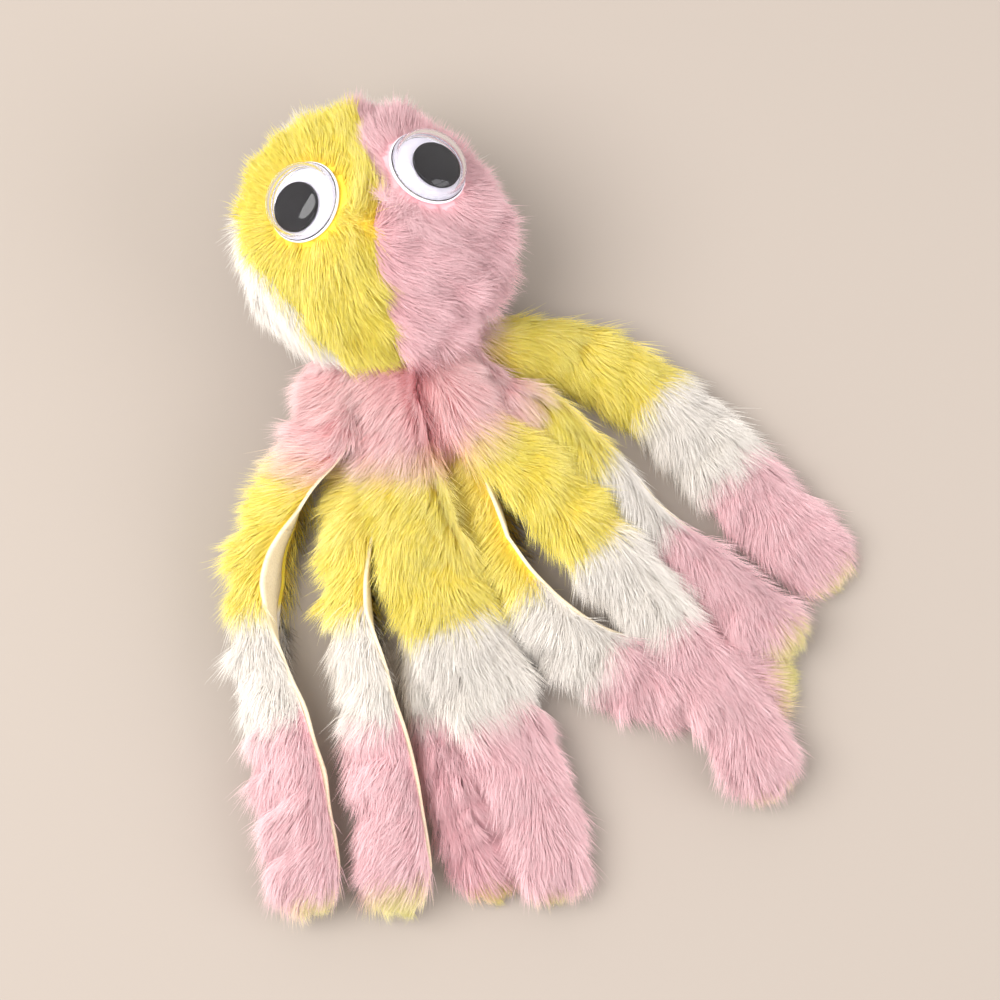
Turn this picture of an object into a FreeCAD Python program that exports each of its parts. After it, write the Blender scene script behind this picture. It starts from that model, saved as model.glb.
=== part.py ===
"""A small plush octopus toy lying on its back: a stuffed fur ball for a head, two wobbly
eyes, a gathered neck with a thread tie, and a fringe of eight fur strips for arms.

Row frame: millimetres, +Z up from the table, the face looking up, the head towards +Y and the
arms towards -Y. The origin is the centre of the bounding box's underside.
Every strip is cut as two solids, upper and lower, with a hinge line between them.
"""
import FreeCAD, Part
import math
import os

from FreeCAD import Vector

# ---- driving dimensions -------------------------------------------------------------------
HEAD = Vector(-9.5, 50.7, 23.0)     # centre of the head ball
HEAD_RADIUS = 24.0                  # outside of the cover, with its pile pressed down
COVER_THICKNESS = 3.8               # backing cloth and pressed pile together
SEAM_GAP = 0.15                     # between neighbouring pieces of one body

NECK_TILT = 26.0                    # how far the neck axis dips below level, in degrees
NECK_HOLE_RADIUS = 5.2              # opening at the bottom of the head cover
CROWN_HOLE_RADIUS = 0.7             # where the gores are drawn together at the crown

EYE_DIAMETER = 15.0                 # a stock size of glued-on wobbly eye
EYE_SIDE = 12.2                     # each eye's offset to the side of the head's middle
EYE_FORWARD = 4.4                   # and towards the crown
EYE_UP = 21.1                       # and upwards
PUPIL_DIAMETER = 9.3
PUPIL_THICKNESS = 0.8

TIE_RADIUS = 5.0                    # middle of the thread round the neck
TIE_THREAD = 1.1                    # thickness of the thread
TIE_PITCH = 0.95                    # its turns are pressed into each other
TIE_TURNS = 3
GATHER_RADIUS = 4.2                 # cloth bunched inside the tie
GATHER_LENGTH = 10.0                # from the tie down into the collar

COLLAR_RADIUS = 9.2                 # gathered top of the arm fringe
COLLAR_HEIGHT = 17.0
COLLAR_REACH = 27.0                 # from the head's middle to the collar's, along -Y

STRIP_WIDTH = 12.6                  # a full-width arm strip
STRIP_ROOT_WIDTH = 7.4              # gathered where it meets the collar
STRIP_TIP_WIDTH = 7.0               # rounded off by the scissors
STRIP_THICKNESS = 3.2               # backing cloth and pressed pile
STRIP_SPREAD = 22.0                 # it opens to full width over this length
HINGE_GAP = 0.7                     # between a strip's end and the piece it hinges on

# Arm routes, root to tip, as (x, y, z) from the point of the table under the head's middle.
# "bend" is the number of the point where the lower piece hinges on the upper one.
ARMS = {
    "arm_1": {"bend": 3, "points": [
        (-12.0, -28.9, 12.0), (-27.5, -36.5, 7.6), (-38.0, -49.5, 3.8), (-42.6, -64.0, 2.1),
        (-43.8, -84.0, 1.9), (-45.0, -103.0, 1.9), (-45.5, -117.0, 1.9)]},
    "arm_2": {"bend": 3, "points": [
        (-9.3, -34.7, 4.4), (-17.0, -43.0, 3.2), (-22.6, -54.0, 2.1), (-27.0, -68.0, 1.9),
        (-29.2, -86.0, 1.9), (-30.6, -105.0, 1.9), (-32.5, -121.0, 1.9)]},
    "arm_3": {"bend": 3, "points": [
        (-4.5, -38.1, 14.4), (-7.4, -50.0, 11.6), (-7.4, -62.5, 8.8), (-6.2, -75.0, 7.0),
        (-4.0, -88.0, 6.8), (-1.0, -100.0, 5.6), (1.0, -112.0, 2.9), (1.2, -125.0, 2.1)]},
    "arm_4": {"bend": 4, "points": [
        (-2.3, -38.8, 4.4), (-5.0, -52.0, 2.6), (-6.8, -67.0, 1.9), (-11.8, -83.0, 1.9),
        (-14.8, -101.0, 1.9), (-14.6, -112.0, 1.9), (-15.2, -123.5, 1.9)]},
    "arm_5": {"bend": 3, "points": [
        (5.8, -37.5, 4.4), (9.4, -52.0, 2.6), (10.4, -67.0, 1.9), (15.2, -80.5, 1.9),
        (25.5, -91.5, 1.9), (38.5, -98.6, 1.9), (53.0, -101.5, 1.9)]},
    "arm_6": {"bend": 4, "points": [
        (4.4, -39.2, 14.4), (12.6, -48.0, 12.4), (18.6, -59.5, 9.8), (24.0, -72.0, 7.8),
        (29.4, -84.0, 6.8), (35.4, -97.0, 6.6), (39.6, -107.5, 6.4), (42.8, -119.5, 2.4)]},
    "arm_7": {"bend": 3, "points": [
        (10.6, -34.2, 9.4), (21.2, -39.4, 6.8), (30.0, -49.5, 4.4), (37.6, -62.5, 1.9),
        (45.2, -75.0, 2.5), (50.6, -84.5, 4.6), (56.0, -93.0, 5.9)]},
    "arm_8": {"bend": 3, "points": [
        (12.0, -27.0, 4.4), (27.0, -27.0, 2.2), (38.2, -35.0, 1.9), (46.4, -46.6, 1.9),
        (53.6, -60.4, 1.9), (60.0, -73.0, 1.9), (66.4, -84.4, 1.9)]},
}

# Gores of the head cover, as (name, start, end), in degrees round the neck axis from the
# middle of the face; positive angles are on the side of +X.
GORES = [
    ("head_gore_white_left", -145.0, -65.0),
    ("head_gore_yellow_front", -65.0, 0.0),
    ("head_gore_pink_front", 0.0, 95.0),
    ("head_gore_white_right", 95.0, 150.0),
    ("head_gore_yellow_back", 150.0, 215.0),
]

# ---- worked out ---------------------------------------------------------------------------
UP = Vector(0, 0, 1)
NECK_AXIS = Vector(0, -math.cos(math.radians(NECK_TILT)), -math.sin(math.radians(NECK_TILT)))
FACE_AXIS = Vector(0, NECK_AXIS.z, -NECK_AXIS.y)
NECK_REACH = HEAD_RADIUS + 2.2      # from the head's centre to the tie, where the neck bends
NECK = HEAD + NECK_AXIS * NECK_REACH
COLLAR = Vector(HEAD.x, HEAD.y - COLLAR_REACH, 0)
HEAD_NOD_DEG = (0.0, 25.0)
BIG = 4 * HEAD_RADIUS


def placed(point):
    """A route point in the row frame."""
    return Vector(HEAD.x + point[0], HEAD.y + point[1], point[2])


def ball(radius, centre):
    return Part.makeSphere(radius, centre)


def disc(centre, axis, radius, start, end):
    """A round slice across axis, from start to end along it."""
    return Part.makeCylinder(radius, end - start, centre + axis * start, axis)


def turned(profile, centre, axis, degrees=360.0):
    """A closed (radius, height) outline turned about axis through centre."""
    side = axis.cross(Vector(1, 0, 0)).normalize()
    points = [centre + side * r + axis * h for r, h in profile]
    face = Part.Face(Part.makePolygon(points + points[:1]))
    return face.revolve(centre, axis, degrees)


# ---- head ---------------------------------------------------------------------------------
def eye_axis(side):
    """The direction that an eye faces; side is -1 or 1."""
    return Vector(side * EYE_SIDE, EYE_FORWARD, EYE_UP).normalize()


EYE_POCKET = HEAD_RADIUS - 1.6      # the eyes sit in dents in the pile, this far from the middle


def gore(start, end):
    """One gore of the cover: a curved shell between two seams, open at the neck."""
    inner = HEAD_RADIUS - COVER_THICKNESS
    low = math.asin(NECK_HOLE_RADIUS / inner)
    high = math.pi - math.asin(CROWN_HOLE_RADIUS / inner)
    middle = (low + high) / 2

    def at(radius, angle):
        return HEAD + NECK_AXIS * (radius * math.cos(angle)) + FACE_AXIS * (radius * math.sin(angle))

    outline = Part.Wire([
        Part.Arc(at(inner, low), at(inner, middle), at(inner, high)).toShape(),
        Part.makeLine(at(inner, high), at(HEAD_RADIUS, high)),
        Part.Arc(at(HEAD_RADIUS, high), at(HEAD_RADIUS, middle), at(HEAD_RADIUS, low)).toShape(),
        Part.makeLine(at(HEAD_RADIUS, low), at(inner, low)),
    ])
    seam = math.degrees(SEAM_GAP / HEAD_RADIUS)
    solid = Part.Face(outline)
    solid.rotate(HEAD, NECK_AXIS, -(start + seam / 2))
    solid = solid.revolve(HEAD, NECK_AXIS, -(end - start - seam))
    for side in (-1, 1):
        solid = solid.cut(disc(HEAD, eye_axis(side), EYE_DIAMETER / 2 + 0.4, EYE_POCKET, BIG))
    table = Part.makeBox(BIG, BIG, BIG, Vector(HEAD.x - BIG / 2, HEAD.y - BIG / 2, -BIG))
    return solid.cut(table)


def stuffing():
    """The filling, with the bulge that fills the cover's opening at the neck."""
    bulge = disc(HEAD, NECK_AXIS, NECK_HOLE_RADIUS - 0.4, 0, NECK_REACH - GATHER_RADIUS - 0.5)
    return ball(HEAD_RADIUS - COVER_THICKNESS - 0.3, HEAD).fuse(bulge).removeSplitter()


# ---- eyes ---------------------------------------------------------------------------------
GLUE = (EYE_POCKET, EYE_POCKET + 0.5)
EYE_BACK = (GLUE[1], GLUE[1] + 0.6)
DOME_BASE = EYE_BACK[1]
CAVITY_RADIUS = EYE_DIAMETER / 2 - 1.2
DOME_WALL = 0.6
PUPIL_SWAY = CAVITY_RADIUS - PUPIL_DIAMETER / 2 - 0.1
PUPIL_TOWARDS = {-1: Vector(-0.95, -0.31, 0), 1: Vector(1.0, 0.05, 0)}


def eye_dome(side):
    """The clear cap: a flat brim, a short wall and a shallow crown, hollow inside."""
    outer = CAVITY_RADIUS + DOME_WALL
    brim = EYE_DIAMETER / 2
    profile = [
        (CAVITY_RADIUS, DOME_BASE), (brim, DOME_BASE), (brim, DOME_BASE + 0.6), (outer, DOME_BASE + 0.8),
        (outer, DOME_BASE + 1.9), (outer * 0.93, DOME_BASE + 2.7), (outer * 0.78, DOME_BASE + 3.5),
        (outer * 0.55, DOME_BASE + 4.1), (outer * 0.28, DOME_BASE + 4.45), (0, DOME_BASE + 4.55),
        (0, DOME_BASE + 3.95), (CAVITY_RADIUS * 0.28, DOME_BASE + 3.85),
        (CAVITY_RADIUS * 0.55, DOME_BASE + 3.5), (CAVITY_RADIUS * 0.78, DOME_BASE + 2.9),
        (CAVITY_RADIUS * 0.93, DOME_BASE + 2.2), (CAVITY_RADIUS, DOME_BASE + 1.5),
    ]
    return turned(profile, HEAD, eye_axis(side))


def pupil_centre(side):
    axis = eye_axis(side)
    way = PUPIL_TOWARDS[side]
    way = (way - axis * way.dot(axis)).normalize()
    return HEAD + way * PUPIL_SWAY


def eye_pupil(side):
    start = EYE_BACK[1] + 0.15
    return disc(pupil_centre(side), eye_axis(side), PUPIL_DIAMETER / 2, start, start + PUPIL_THICKNESS)


# ---- neck ---------------------------------------------------------------------------------
def neck_tie():
    """Turns of thread pressed together round the gathered cloth."""
    first = -TIE_PITCH * (TIE_TURNS - 1) / 2
    turns = [
        Part.makeTorus(TIE_RADIUS, TIE_THREAD / 2, NECK + NECK_AXIS * (first + TIE_PITCH * n), NECK_AXIS)
        for n in range(TIE_TURNS)
    ]
    return turns[0].multiFuse(turns[1:])


def neck_gather():
    """The bunched top of the fringe: round where the neck bends, and sunk into the collar."""
    stem = disc(NECK, NECK_AXIS, GATHER_RADIUS, 0, GATHER_LENGTH)
    return stem.fuse(ball(GATHER_RADIUS, NECK)).removeSplitter()


def neck_collar():
    """The ring of cloth that the strips hang from, hollowed for the tie and the nodding head."""
    solid = Part.makeCylinder(COLLAR_RADIUS, COLLAR_HEIGHT, COLLAR, UP)
    rim = [e for e in solid.Edges if abs(e.BoundBox.ZMin - COLLAR_HEIGHT) < 1e-6 and e.BoundBox.ZLength < 1e-6]
    solid = solid.makeFillet(4.0, rim)
    socket = TIE_RADIUS + TIE_THREAD + 0.6
    solid = solid.cut(ball(socket, NECK))
    solid = solid.cut(disc(NECK, NECK_AXIS, GATHER_RADIUS + 0.1, 0, GATHER_LENGTH + 0.1))
    for share in (0.0, 0.25, 0.5, 0.75, 1.0):
        nodded = FreeCAD.Rotation(Vector(1, 0, 0), HEAD_NOD_DEG[1] * share)
        solid = solid.cut(ball(HEAD_RADIUS + 0.5, NECK + nodded.multVec(HEAD - NECK)))
    return max(solid.Solids, key=lambda s: s.Volume)


# ---- arms ---------------------------------------------------------------------------------
def route(points):
    """A smooth curve through an arm's points."""
    curve = Part.BSplineCurve()
    curve.interpolate([placed(p) for p in points])
    return curve


def section(place, along, width, thickness):
    """A flat strip's outline with bevelled corners, square to its run and level across."""
    side = along.cross(UP).normalize()
    normal = side.cross(along).normalize()
    bevel = min(0.8, thickness * 0.3)
    half, rise = width / 2, thickness / 2
    corners = [
        (-half, rise - bevel), (-half + bevel, rise), (half - bevel, rise), (half, rise - bevel),
        (half, bevel - rise), (half - bevel, -rise), (-half + bevel, -rise), (-half, bevel - rise),
    ]
    points = [place + side * a + normal * b for a, b in corners]
    return Part.makePolygon(points + points[:1])


def hinges(name):
    """The arm's curve, and its parameters and lengths at the root, the bend and the tip."""
    arm = ARMS[name]
    curve = route(arm["points"])
    bend = curve.parameter(placed(arm["points"][arm["bend"]]))
    return curve, curve.FirstParameter, bend, curve.LastParameter


def strip(curve, start, end, rounded_tip):
    """A solid strip along the curve. Its start has a round nose about the hinge line, and its
    end stops short of the next hinge or is cut round as a tip."""
    nose = STRIP_THICKNESS / 2
    total = curve.length(start, end)
    before = curve.length(curve.FirstParameter, start)
    first = curve.value(start)
    first_way = curve.tangent(start)[0]
    last = total if rounded_tip else total - nose - HINGE_GAP
    sections = []
    for back, share in ((1.0, 0.12), (0.85, 0.53), (0.5, 0.87)):
        width = width_at(before)
        sections.append(section(first - first_way * nose * back, first_way, width, STRIP_THICKNESS * share))
    count = max(5, round(last / 5.0))
    for n in range(count + 1):
        reach = last * n / count
        if rounded_tip and n == count:
            reach -= 2.0
        at = curve.parameterAtDistance(reach, start)
        width = width_at(before + reach)
        if rounded_tip:
            width = min(width, tip_width(total - reach))
        sections.append(section(curve.value(at), curve.tangent(at)[0], width, STRIP_THICKNESS))
    if rounded_tip:
        at = curve.parameterAtDistance(last, start)
        sections.append(section(curve.value(at), curve.tangent(at)[0], STRIP_TIP_WIDTH, STRIP_THICKNESS * 0.7))
    return Part.makeLoft(sections, True, True)


def width_at(reach):
    """The strip's width this far from its root."""
    share = min(1.0, reach / STRIP_SPREAD)
    return STRIP_ROOT_WIDTH + (STRIP_WIDTH - STRIP_ROOT_WIDTH) * share


def tip_width(left):
    """The width that the rounded corners leave, this far from the tip."""
    corner = (STRIP_WIDTH - STRIP_TIP_WIDTH) / 2
    if left >= corner:
        return STRIP_WIDTH
    return STRIP_TIP_WIDTH + 2 * math.sqrt(corner**2 - (corner - left) ** 2)


def arm_pieces(name):
    curve, root, bend, tip = hinges(name)
    return {
        name + "_upper": strip(curve, root, bend, False),
        name + "_lower": strip(curve, bend, tip, True),
    }


# ---- build --------------------------------------------------------------------------------
def build():
    shapes = {"head_stuffing": stuffing()}
    for name, start, end in GORES:
        shapes[name] = gore(start, end)
    for word, side in (("left", -1), ("right", 1)):
        axis = eye_axis(side)
        shapes[f"eye_{word}_glue"] = disc(HEAD, axis, EYE_DIAMETER * 0.36, *GLUE)
        shapes[f"eye_{word}_back"] = disc(HEAD, axis, EYE_DIAMETER / 2, *EYE_BACK)
        shapes[f"eye_{word}_dome"] = eye_dome(side)
        shapes[f"eye_{word}_pupil"] = eye_pupil(side)
    shapes["neck_tie"] = neck_tie()
    shapes["neck_gather"] = neck_gather()
    shapes["neck_collar"] = neck_collar()
    for name in ARMS:
        shapes.update(arm_pieces(name))
    return shapes


if __name__ == "__main__":
    os.makedirs("parts", exist_ok=True)
    low, high = Vector(1e9, 1e9, 1e9), Vector(-1e9, -1e9, -1e9)
    for name, shape in build().items():
        shape.exportStep(f"parts/{name}.step")
        box = shape.BoundBox
        low = Vector(min(low.x, box.XMin), min(low.y, box.YMin), min(low.z, box.ZMin))
        high = Vector(max(high.x, box.XMax), max(high.y, box.YMax), max(high.z, box.ZMax))
        print(f"{name:26s} solids {len(shape.Solids)} valid {shape.isValid()} volume {shape.Volume:9.1f}")
    print("box", low, high, "middle", (low.x + high.x) / 2, (low.y + high.y) / 2)
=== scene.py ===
"""Looks for the plush octopus: long striped pile, cream cut edges and wobbly eyes.

Every arm is a strip of cloth: a backing sheet, and on it a body of underfur with tapered hairs
growing over it. The head is the same pile on a stuffed ball. The helpers work in millimetres in
the model's own frame, and each mesh is made in metres.
"""

import math

import bmesh
import bpy
import numpy as np
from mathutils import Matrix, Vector, kdtree


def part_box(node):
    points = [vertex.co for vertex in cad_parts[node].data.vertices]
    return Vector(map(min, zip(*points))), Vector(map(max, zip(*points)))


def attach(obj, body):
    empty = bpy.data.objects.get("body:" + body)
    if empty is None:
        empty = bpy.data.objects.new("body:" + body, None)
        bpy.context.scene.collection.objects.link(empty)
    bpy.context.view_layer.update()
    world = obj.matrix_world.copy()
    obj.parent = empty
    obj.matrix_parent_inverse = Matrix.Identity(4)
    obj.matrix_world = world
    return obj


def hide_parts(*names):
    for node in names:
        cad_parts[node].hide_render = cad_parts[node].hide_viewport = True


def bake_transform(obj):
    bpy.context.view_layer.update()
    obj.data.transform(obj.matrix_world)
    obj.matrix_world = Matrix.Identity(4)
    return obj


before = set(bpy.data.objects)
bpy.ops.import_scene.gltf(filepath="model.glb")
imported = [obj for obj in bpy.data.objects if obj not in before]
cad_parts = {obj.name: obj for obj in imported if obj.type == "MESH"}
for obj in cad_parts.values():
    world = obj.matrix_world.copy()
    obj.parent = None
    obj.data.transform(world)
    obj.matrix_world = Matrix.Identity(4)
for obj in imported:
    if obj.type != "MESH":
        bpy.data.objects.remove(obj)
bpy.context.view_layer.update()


rng = np.random.default_rng(7)
MM = 0.001
UP = np.array([0.0, 0.0, 1.0])
SIDE = np.array([1.0, 0.0, 0.0])
LEVEL = np.array([1.0, 1.0, 0.0])

# ---- the toy's own sizes, in millimetres, as in the CAD model ---------------------------------
HEAD = np.array([-9.5, 50.7, 23.0])
ROUTE_ORIGIN = HEAD * LEVEL     # the point of the table under the head's middle
NECK_TILT = math.radians(26.0)
NECK_AXIS = np.array([0.0, -math.cos(NECK_TILT), -math.sin(NECK_TILT)])
FACE_AXIS = np.array([0.0, NECK_AXIS[2], -NECK_AXIS[1]])
COLLAR = ROUTE_ORIGIN + np.array([0.0, -27.0, 0.0])
EYE_DIRECTION = np.array([12.2, 4.4, 21.1])     # of the right eye; the left one mirrors it
EYE_BACK = 22.9                 # underside of the eye's white disc, from the head's centre
EYE_RADIUS = 7.5
CAVITY_RADIUS = 6.3
PUPIL_RADIUS = 4.65
STRIP_WIDTH = 12.6
FLOOR = 0.3                     # the lowest that a hair lies

# Colours of the striped cloth, along the first axis of the fur's map.
STRIPES = (0.0, 0.14, 0.46, 0.68, 0.96, 1.0)
PINK_NECK, YELLOW, WHITE, PINK = 0.07, 0.30, 0.57, 0.82
TONES = 8                       # rows of slightly different shade in the fur's map

# Each arm, from the left: "points" is its route from inside the gathered neck, relative to the
# table under the head's middle. "root" and "bend" are the numbers of the points where it leaves
# the collar and where it hinges, and "stripes" is where its stripes end, from the collar on.
# "loft" scales the height of its pile, and "ruffle_and_shade" is how strongly the pile is tufted and also how
# far its hairs keep to the darker shade rows, painted shade for an arm lying low under another. The rest are
# values at even steps from root to tip: how far the strip rolls over and how far its pile sweeps towards its
# other edge, in degrees; how bare its cut edge is; its width, as a share of the full one; and how far it lies
# to the side of its route.
ARMS = {
    "arm_1": {"root": 1, "bend": 5, "stripes": (14, 43, 64, 96),
              "roll": (25, 60, 88, 103, 86, 62, 46, 38, 28),
              "sweep": (35, 30, 15, 30, 30), "bare": (0.6, 1, 1, 1, 1),
              "width": (0.95,), "shift": (2.5, 4, 4.5, 4, 2), "ruffle_and_shade": 0.3, "loft": 1.3,
              "points": [
                  (-13.0, -18.5, 11.0), (-17.0, -25.5, 12.5), (-21.0, -32.0, 11.5), (-28.5, -39.0, 7.6),
                  (-38.0, -49.5, 3.8),
                  (-42.6, -64.0, 2.1), (-43.8, -84.0, 1.9), (-45.0, -103.0, 1.9), (-45.5, -117.0, 1.9)]},
    "arm_2": {"root": 1, "bend": 4, "stripes": (6, 33.5, 54.5, 84),
              "roll": (25, 60, 84, 92, 78, 55, 42, 32, 25),
              "sweep": (30, 25, 15, 30, 30), "bare": (1, 1, 1, 1, 0.9),
              "width": (0.9,), "shift": (1, 5, 7, 6, 4), "ruffle_and_shade": 0.3, "loft": 1.25,
              "points": [
                  (-5.0, -26.0, 4.4), (-9.3, -34.7, 4.4), (-17.0, -43.0, 3.2), (-22.6, -54.0, 2.1),
                  (-27.0, -68.0, 1.9), (-29.2, -86.0, 1.9), (-30.6, -105.0, 1.9), (-32.5, -121.0, 1.9)]},
    "arm_3": {"root": 2, "bend": 5, "stripes": (3, 32.5, 52, 86),
              "roll": (10, 15, 0, 0, 0), "sweep": (50, 25, 8, 5, 5), "bare": (0.7, 0.25, 0, 0, 0),
              "width": (1.04, 1.04, 1.0, 0.72, 0.66), "shift": (0, 0.5, 1, 0.6, -0.4),
              "ruffle_and_shade": 0.3, "loft": 1.15,
              "points": [
                  (-3.4, -21.5, 16.0), (-5.4, -30.0, 16.5), (-5.8, -38.3, 14.6), (-7.4, -50.0, 11.6),
                  (-7.4, -62.5, 8.8), (-6.2, -75.0, 7.2), (-4.4, -88.0, 7.0), (-2.2, -100.0, 6.2),
                  (-0.6, -112.0, 4.6), (-0.6, -127.0, 3.0)]},
    "arm_4": {"root": 1, "bend": 5, "stripes": (0, 27, 48, 81),
              "roll": (0, 0, 0, 10, 0), "sweep": (-15, -15, -20, -15, -10), "bare": (0, 0, 0, 0, 0),
              "width": (0.82,), "shift": (0, 0, 0, 2.2, 3), "ruffle_and_shade": 0.85, "loft": 0.6,
              "points": [
                  (-1.0, -28.0, 4.4), (-2.3, -38.8, 4.4), (-5.0, -52.0, 2.6), (-6.8, -67.0, 1.9),
                  (-11.8, -83.0, 1.9), (-14.8, -101.0, 1.9), (-14.6, -112.0, 1.9), (-15.2, -123.5, 1.9)]},
    "arm_5": {"root": 1, "bend": 4, "stripes": (1, 32, 51, 82),
              "roll": (60, 95, 90, 62, 45, 30, 20, 10, 0),
              "sweep": (45, 50, 55, 35, 20), "bare": (1, 1, 1, 0.8, 0.2),
              "width": (0.9,), "shift": (0, -1.5, 0.5, 3, 3), "ruffle_and_shade": 0.3, "loft": 1.15,
              "points": [
                  (2.5, -27.0, 4.4), (5.8, -37.5, 4.4), (9.4, -52.0, 2.6), (10.4, -67.0, 1.9),
                  (15.2, -80.5, 1.9), (25.5, -91.5, 1.9), (38.5, -98.6, 1.9), (53.0, -101.5, 1.9)]},
    "arm_6": {"root": 2, "bend": 6, "stripes": (0, 29, 51, 85),
              "roll": (0, 0, 0, 0, 0), "sweep": (-15, 10, 16, 16, 10), "bare": (0.3, 0, 0, 0, 0),
              "width": (0.68,), "shift": (0, 2.5, 3.5, 1.5, 0), "ruffle_and_shade": 0.3, "loft": 1.1,
              "points": [
                  (3.6, -22.5, 16.0), (5.8, -30.5, 16.5), (8.2, -38.6, 15.0), (13.4, -48.0, 12.6),
                  (18.6, -59.5, 9.8), (24.0, -72.0, 7.8), (29.4, -84.0, 6.8), (35.4, -97.0, 6.6),
                  (39.6, -107.5, 6.4), (42.8, -119.5, 2.4)]},
    "arm_7": {"root": 1, "bend": 4, "stripes": (8, 23, 42, 71),
              "roll": (10, 25, 30, 15, 5), "sweep": (30, 35, 35, 30, 15), "bare": (1, 1, 1, 0.9, 0.2),
              "width": (0.85,), "shift": (3.5, -1.5, -3.5, -2.5, -1), "ruffle_and_shade": 0.3, "loft": 1.0,
              "points": [
                  (5.0, -25.0, 10.0), (10.6, -34.2, 9.4), (21.2, -39.4, 6.8), (30.0, -49.5, 4.4),
                  (37.6, -62.5, 1.9), (45.2, -75.0, 2.5), (50.6, -84.5, 4.6), (56.0, -93.0, 5.9)]},
    "arm_8": {"root": 1, "bend": 4, "stripes": (-3, 32, 52, 78.5),
              "roll": (25, 25, 15, 5, 0), "sweep": (25, 22, 20, 18, 10), "bare": (1, 1, 0.4, 0.1, 0),
              "width": (0.8,), "shift": (2.5, 1.5, 0.5, 0.5, 0), "ruffle_and_shade": 0.3, "loft": 1.0,
              "points": [
                  (6.0, -19.0, 5.0), (15.0, -23.5, 5.0), (27.0, -27.0, 2.6), (38.2, -35.0, 1.9),
                  (46.4, -46.6, 1.9), (53.6, -60.4, 1.9), (60.0, -73.0, 1.9), (66.4, -84.4, 1.9)]},
}

# Gores of the head cover: the seams each lies between, as an angle round the neck axis from the
# face in degrees or as the name of a curved seam; its colour; and its material slot.
GORES = {
    "head_gore_white_left": (-145, "white_yellow", WHITE, "fur_white"),
    "head_gore_yellow_front": ("white_yellow", "yellow_pink", YELLOW, "fur_yellow"),
    "head_gore_pink_front": ("yellow_pink", 95, PINK, "fur_pink"),
    "head_gore_white_right": (95, 150, WHITE, "fur_white"),
    "head_gore_yellow_back": (150, 215, YELLOW, "fur_yellow"),
}

# The seams that curve, as (angle from the neck, angle round from the face) in degrees.
SEAMS = {
    "white_yellow": ((13, -60), (50, -49), (79, -50), (95, -59), (105, -80), (125, -100), (179, -110)),
    "yellow_pink": ((13, -10), (51, -9.5), (76, -8), (96, -6), (108, -1), (120, 8), (139, 8), (169, 19)),
}

# Painted shade in hollows: in the neck's crease and the gaps where one arm lies against or over another,
# the hairs take more of the darker deep root colour, standing in for shade. From, to, and radius,
# in millimetres, placed like the arms' routes.
PAINTED_SHADE_PLACES = (((-2.4, -19.0, 18.0), (0.6, -38.0, 13.0), 6.6),
               ((2.0, -37.0, 8.0), (9.0, -60.0, 3.0), 7.5),
               ((-8.6, -84.0, 3.0), (-9.6, -122.0, 3.0), 5.6),
               ((-16.0, -92.0, 3.0), (-15.0, -118.0, 3.0), 4.5))


# ---- small mathematics ------------------------------------------------------------------------
def unit(vectors):
    return vectors / np.maximum(np.linalg.norm(vectors, axis=-1, keepdims=True), 1e-9)


def smooth(value):
    value = np.clip(value, 0.0, 1.0)
    return value * value * (3 - 2 * value)


def evenly(share, values):
    """The value at this share of the way through evenly spaced values."""
    return np.interp(share, np.linspace(0, 1, len(values)), values)


def lumps(points, size, seed, waves=7):
    """Soft random swells of about that size, from -1 to 1 or so, at each point."""
    local = np.random.default_rng(seed)
    total = np.zeros(points.shape[:-1])
    for _ in range(waves):
        way = unit(local.normal(size=3)) * (2 * math.pi / size) * local.uniform(0.6, 1.5)
        total += np.sin(points @ way + local.uniform(0, 2 * math.pi))
    return total / math.sqrt(waves)


def painted_shade_share(points):
    """How much painted shade each point gets, from 0 to 1: most deep in a crease or gap."""
    deepest = np.zeros(len(points))
    for start, end, radius in PAINTED_SHADE_PLACES:
        start, end = (np.array(place) + ROUTE_ORIGIN for place in (start, end))
        run = end - start
        share = np.clip((points - start) @ run / (run @ run), 0, 1)
        off = np.linalg.norm(points - start - share[:, None] * run, axis=1)
        deepest = np.maximum(deepest, smooth(1.25 - off / radius))
    return deepest


class Route:
    """A smooth line through points, measured along its length from one of them, the origin."""

    def __init__(self, points, origin=0, steps=60):
        points = np.array(points, float)
        ends = np.vstack([2 * points[0] - points[1], points, 2 * points[-1] - points[-2]])
        t = np.linspace(0, 1, steps, endpoint=False)[:, None]
        runs = []
        for k in range(len(points) - 1):
            before, start, end, after = ends[k:k + 4]
            runs.append(0.5 * (2 * start + (end - before) * t
                               + (2 * before - 5 * start + 4 * end - after) * t**2
                               + (3 * start - before - 3 * end + after) * t**3))
        self.line = np.vstack(runs + [points[-1:]])
        gaps = np.linalg.norm(np.diff(self.line, axis=0), axis=1)
        self.reach = np.concatenate([[0.0], np.cumsum(gaps)])
        self.reach -= self.reach_of(points[origin])
        self.start, self.length = self.reach[0], self.reach[-1]

    def at(self, reach):
        """The point at each distance along the line."""
        return np.stack([np.interp(reach, self.reach, self.line[:, k]) for k in range(3)], axis=-1)

    def tangent(self, reach):
        """The way the line runs at each distance along it."""
        step = 1.0
        ahead = np.minimum(reach + step, self.length)
        behind = np.maximum(reach - step, self.start)
        return unit(self.at(ahead) - self.at(behind))

    def reach_of(self, point):
        """How far along the line this point is."""
        return self.reach[np.argmin(np.linalg.norm(self.line - point, axis=1))]


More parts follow.
